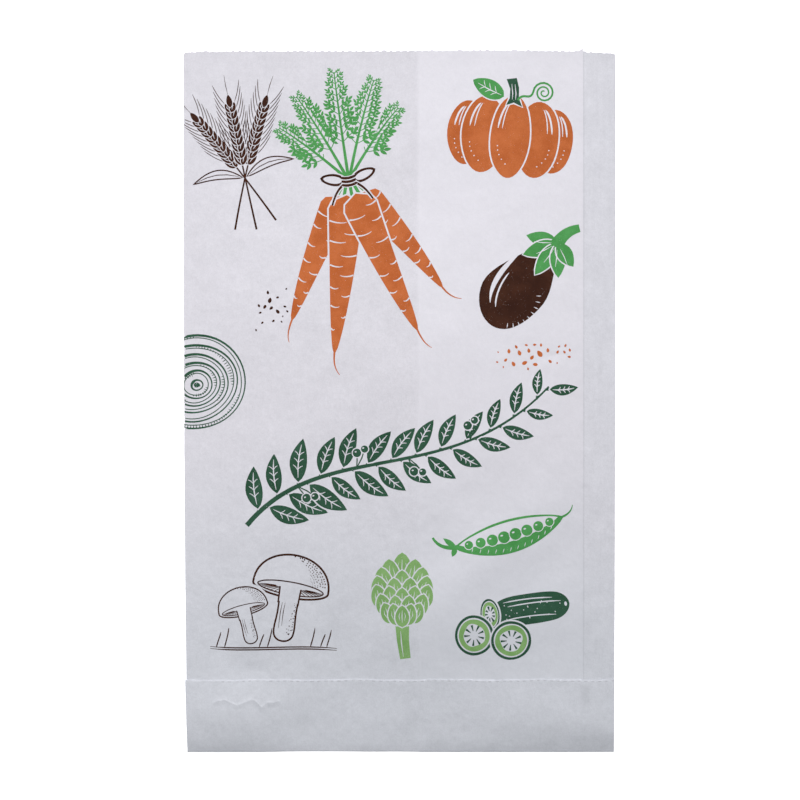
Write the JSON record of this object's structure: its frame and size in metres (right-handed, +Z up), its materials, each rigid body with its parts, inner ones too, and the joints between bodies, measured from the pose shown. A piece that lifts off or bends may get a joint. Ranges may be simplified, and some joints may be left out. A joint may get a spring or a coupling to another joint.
{
  "type": "merchant paper bag",
  "caption": "Flat white paper bag lying on its back, with a serrated mouth, a lengthwise lap seam and a folded-up, glued bottom flap, printed with kitchen-garden line drawings.",
  "frame": {"origin": "on the surface the bag lies on, under the middle of its box", "axes": "+X across the bag towards the lap seam, +Y from the bottom fold to the mouth, +Z up out of the printed face"},
  "size_m": [0.18, 0.292, 0.0052],
  "materials": {
    "paper": "uncoated white kraft paper, matt, with flat ink print"
  },
  "bodies": {
    "root": {"paper_bag": "paper"}
  },
  "joints": []
}
